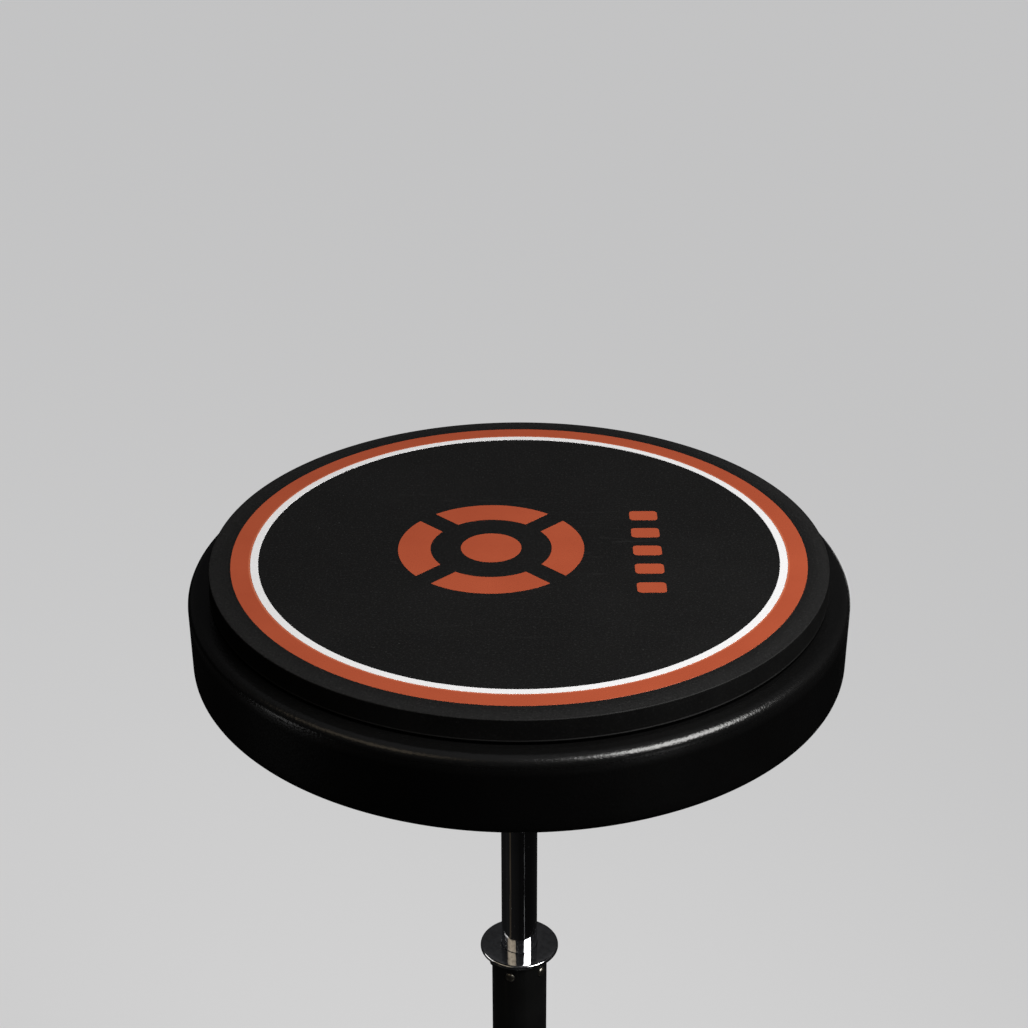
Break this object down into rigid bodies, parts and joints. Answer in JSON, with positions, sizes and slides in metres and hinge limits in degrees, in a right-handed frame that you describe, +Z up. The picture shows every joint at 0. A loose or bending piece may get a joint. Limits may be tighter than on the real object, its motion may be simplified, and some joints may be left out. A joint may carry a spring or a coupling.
{
  "type": "practice pad",
  "caption": "Round drum practice pad with a printed rubber face on a telescopic post with a flanged chrome rod, a wing-screw clamp and folding tripod legs.",
  "frame": {"origin": "on the floor, on the post axis, at the centre of the flat sole of the post's rubber end plug", "axes": "+Z up the post to the playing face; the clamp's wing screw and the player are on the -Y side; +X to the player's right; one leg points to +Y"},
  "size_m": [0.2924, 0.2558, 0.43],
  "materials": {
    "rubber_face": "fine matte grain, printed",
    "ink_white": "screen-printed ink",
    "ink_orange": "screen-printed ink, burnt orange",
    "foam": "closed-cell damping foam",
    "shell_plastic": "moulded black, satin, fine texture",
    "board_wood": "medium-density fibreboard",
    "rubber_black": "matte black rubber",
    "zinc_steel": "bright zinc plated",
    "spring_steel": "black oxide",
    "zinc_cast": "cast, bright plated",
    "chrome": "polished chrome plate",
    "black_paint": "gloss black coated steel tube",
    "black_nylon": "moulded glass-filled nylon, black",
    "nylon_black": "nylon",
    "brass": "turned brass"
  },
  "bodies": {
    "base": {"lower_tube": "black_paint", "post_end_plug": "rubber_black", "clamp_collar": "black_nylon", "collar_rivet": "zinc_steel", "tube_bushing": "nylon_black", "clamp_shoe": "nylon_black", "leg_hub": "black_nylon", "hub_set_screw": "spring_steel", "pivot_bolts": "zinc_steel", "pivot_washers": "zinc_steel", "pivot_nuts": "zinc_steel"},
    "wing_screw": {"clamp_bolt": "zinc_steel", "wing_knob": "zinc_cast"},
    "mid_post": {"mid_tube": "black_paint", "flange_bush": "chrome", "bush_pins": "zinc_steel", "mid_guide_ring": "nylon_black"},
    "expander_lock": {"expander_sleeve": "nylon_black", "expander_cone": "brass"},
    "rod": {"top_rod": "chrome", "expander_stud": "zinc_steel", "expander_clip": "spring_steel"},
    "lock_nut_set": {"lock_nut": "chrome", "lock_washer": "zinc_steel"},
    "pad": {"playing_surface": "rubber_face", "ink_ring_white": "ink_white", "ink_ring_orange": "ink_orange", "ink_centre_mark": "ink_orange", "damping_layer": "foam", "body_shell": "shell_plastic", "core_board": "board_wood", "mount_plate": "zinc_steel", "plate_screws": "zinc_steel", "core_screws": "zinc_steel", "base_mat": "rubber_black"},
    "leg_one": {"leg_eye_1": "black_nylon", "leg_tube_1": "black_paint", "leg_foot_1": "rubber_black"},
    "leg_two": {"leg_eye_2": "black_nylon", "leg_tube_2": "black_paint", "leg_foot_2": "rubber_black"},
    "leg_three": {"leg_eye_3": "black_nylon", "leg_tube_3": "black_paint", "leg_foot_3": "rubber_black"}
  },
  "joints": [
    {"name": "mid_height", "type": "slide", "parent": "base", "child": "mid_post", "axis": [0, 0, 1], "range_m": [-0.065, 0.085]},
    {"name": "rod_height", "type": "slide", "parent": "mid_post", "child": "expander_lock", "axis": [0, 0, 1], "range_m": [-0.075, 0.07]},
    {"name": "rod_twist", "type": "hinge", "parent": "expander_lock", "child": "rod", "pos_m": [0, 0, 0.215], "axis": [0, 0, 1], "range_deg": [0, 180]},
    {"name": "lock_nut_turn", "type": "hinge", "parent": "rod", "child": "lock_nut_set", "pos_m": [0, 0, 0.4], "axis": [0, 0, 1], "continuous": true},
    {"name": "pad_turn", "type": "hinge", "parent": "rod", "child": "pad", "pos_m": [0, 0, 0.41], "axis": [0, 0, 1], "continuous": true},
    {"name": "wing_screw_turn", "type": "hinge", "parent": "base", "child": "wing_screw", "pos_m": [0, -0.0292, 0.221], "axis": [0, -1, 0], "range_deg": [0, 270]},
    {"name": "leg_one_fold", "type": "hinge", "parent": "base", "child": "leg_one", "pos_m": [0, 0.024, 0.052], "axis": [1, 0, 0], "range_deg": [0, 106.8]},
    {"name": "leg_two_fold", "type": "hinge", "parent": "base", "child": "leg_two", "pos_m": [-0.02079, -0.012, 0.052], "axis": [-0.5, 0.866, 0], "range_deg": [0, 106.8]},
    {"name": "leg_three_fold", "type": "hinge", "parent": "base", "child": "leg_three", "pos_m": [0.02079, -0.012, 0.052], "axis": [-0.5, -0.866, 0], "range_deg": [0, 106.8]}
  ]
}
